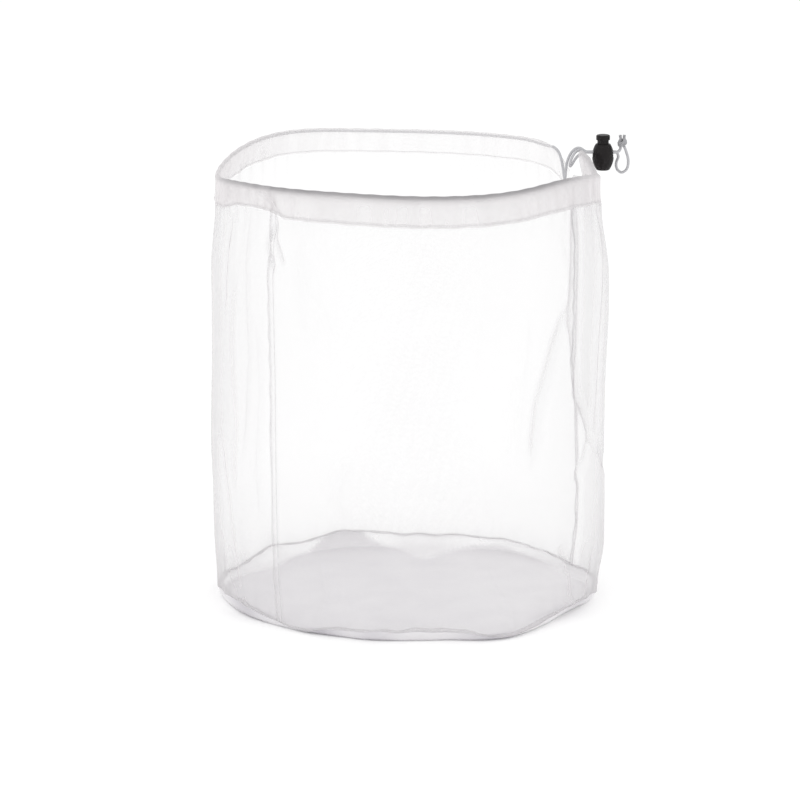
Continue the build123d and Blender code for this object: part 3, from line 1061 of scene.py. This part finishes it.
knotShape = {
    "turns": 2.6,
    "steps": 72,
    "wrapRadius": 0.0038,
    "wrapThickness": 0.0034,
    "tipThickness": 0.0032,
    "step": 0.00035,
    "sides": 18,
}


def makeKnot():
    low, high = knotLow.z, knotHigh.z
    pieces = []
    line = []
    for number in range(knotShape["steps"] + 1):
        share = number / knotShape["steps"]
        turn = 2 * math.pi * knotShape["turns"] * share
        reach = knotShape["wrapRadius"] * (1 - 0.30 * abs(2 * share - 1) ** 3)
        tilt = 0.0011 * math.sin(turn + 0.7)
        height = low + 0.0024 + (high - low - 0.0050) * share + tilt
        x, y = knotMiddle.x + reach * math.cos(turn), knotMiddle.y + reach * math.sin(turn)
        line.append(Vector((x, y, height)))
    thickness, step, sides = knotShape["wrapThickness"], knotShape["step"], knotShape["sides"]
    pieces.append(tubeAlong("knot_wrap", line, thickness / 2, step, sides, braidRadius)[0])
    # a strand crosses the wraps on the outside
    cross = [
        (-0.0024, -0.0036, 0.0014), (-0.0012, -0.0052, 0.0032), (0.0010, -0.0053, 0.0058),
        (0.0026, -0.0034, 0.0082), (0.0022, -0.0008, 0.0098),
    ]
    start = Vector((knotMiddle.x, knotMiddle.y, low))
    line = splineLine([tuple(start + Vector(place)) for place in cross])
    pieces.append(tubeAlong("knot_cross", line, thickness / 2, step, sides, braidRadius)[0])
    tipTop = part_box("cord_tips")[1].z
    for side in (-1, 1):
        foot = Vector((knotMiddle.x + side * 0.0015, knotMiddle.y, low + 0.0005))
        head = Vector((knotMiddle.x + side * 0.0024, knotMiddle.y + side * 0.0008, tipTop - 0.0004))
        middle = foot.lerp(head, 0.6) - Vector((side * 0.0004, 0, 0))
        line = splineLine([tuple(foot), tuple(middle), tuple(head)])

        def frayed(radius, turn, along):
            spread = 1 + 0.12 * max(0.0, along - 0.010) / 0.003
            return braidRadius(radius, turn, along) * spread
        pieces.append(tubeAlong(f"tip_{side}", line, knotShape["tipThickness"] / 2, 0.0004, 16, frayed)[0])
    knot = joinPieces(pieces, "tied_knot")
    return finishPiece(knot, "bag", knotBraid, ["cord_knot", "cord_tips"])


tiedKnot = makeKnot()
print("knot tied")


# light and floor

lightLook = {
    "sky": 1.0,
    "floor": 0.97,
    "floorGlow": 0.061,
    # each lamp's power, size and place
    "lamps": {"key_light": (9.0, 2.5, (-1.6, -2.6, 3.2)), "fill_light": (3.0, 3.0, (2.6, -1.2, 2.4))},
    "aim": (0, 0, 0.25),
}


def makeStage():
    deselectAll()
    bpy.ops.mesh.primitive_plane_add(size=30, location=(0, 0, -0.0002))
    floor = bpy.context.active_object
    floor.name = "floor"
    material, nodes, links, shader = newMaterial("floor_white")
    shader.inputs["Base Color"].default_value = (*[lightLook["floor"]] * 3, 1)
    shader.inputs["Roughness"].default_value = 1.0
    shader.inputs["Specular IOR Level"].default_value = 0.0
    shader.inputs["Emission Color"].default_value = (1, 1, 1, 1)
    shader.inputs["Emission Strength"].default_value = lightLook["floorGlow"]
    floor.data.materials.append(material)

    world = bpy.data.worlds.new("studio")
    world.use_nodes = True
    world.node_tree.nodes["Background"].inputs["Color"].default_value = (1, 1, 1, 1)
    world.node_tree.nodes["Background"].inputs["Strength"].default_value = lightLook["sky"]
    bpy.context.scene.world = world

    for name, (power, size, location) in lightLook["lamps"].items():
        data = bpy.data.lights.new(name, "AREA")
        data.energy = power
        data.size = size
        lamp = bpy.data.objects.new(name, data)
        bpy.context.scene.collection.objects.link(lamp)
        lamp.location = location
        lamp.rotation_euler = (Vector(lightLook["aim"]) - lamp.location).to_track_quat("-Z", "Y").to_euler()
    bpy.context.scene.view_settings.view_transform = "Standard"
    bpy.context.scene.cycles.transparent_max_bounces = 32


makeStage()

for nodeName, material in (
    ("cord_lock_body", lockPlastic), ("cord_lock_button", buttonPlastic), ("cord_lock_spring", springWire),
):
    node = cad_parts[nodeName]
    node.data.materials.clear()
    node.data.materials.append(material)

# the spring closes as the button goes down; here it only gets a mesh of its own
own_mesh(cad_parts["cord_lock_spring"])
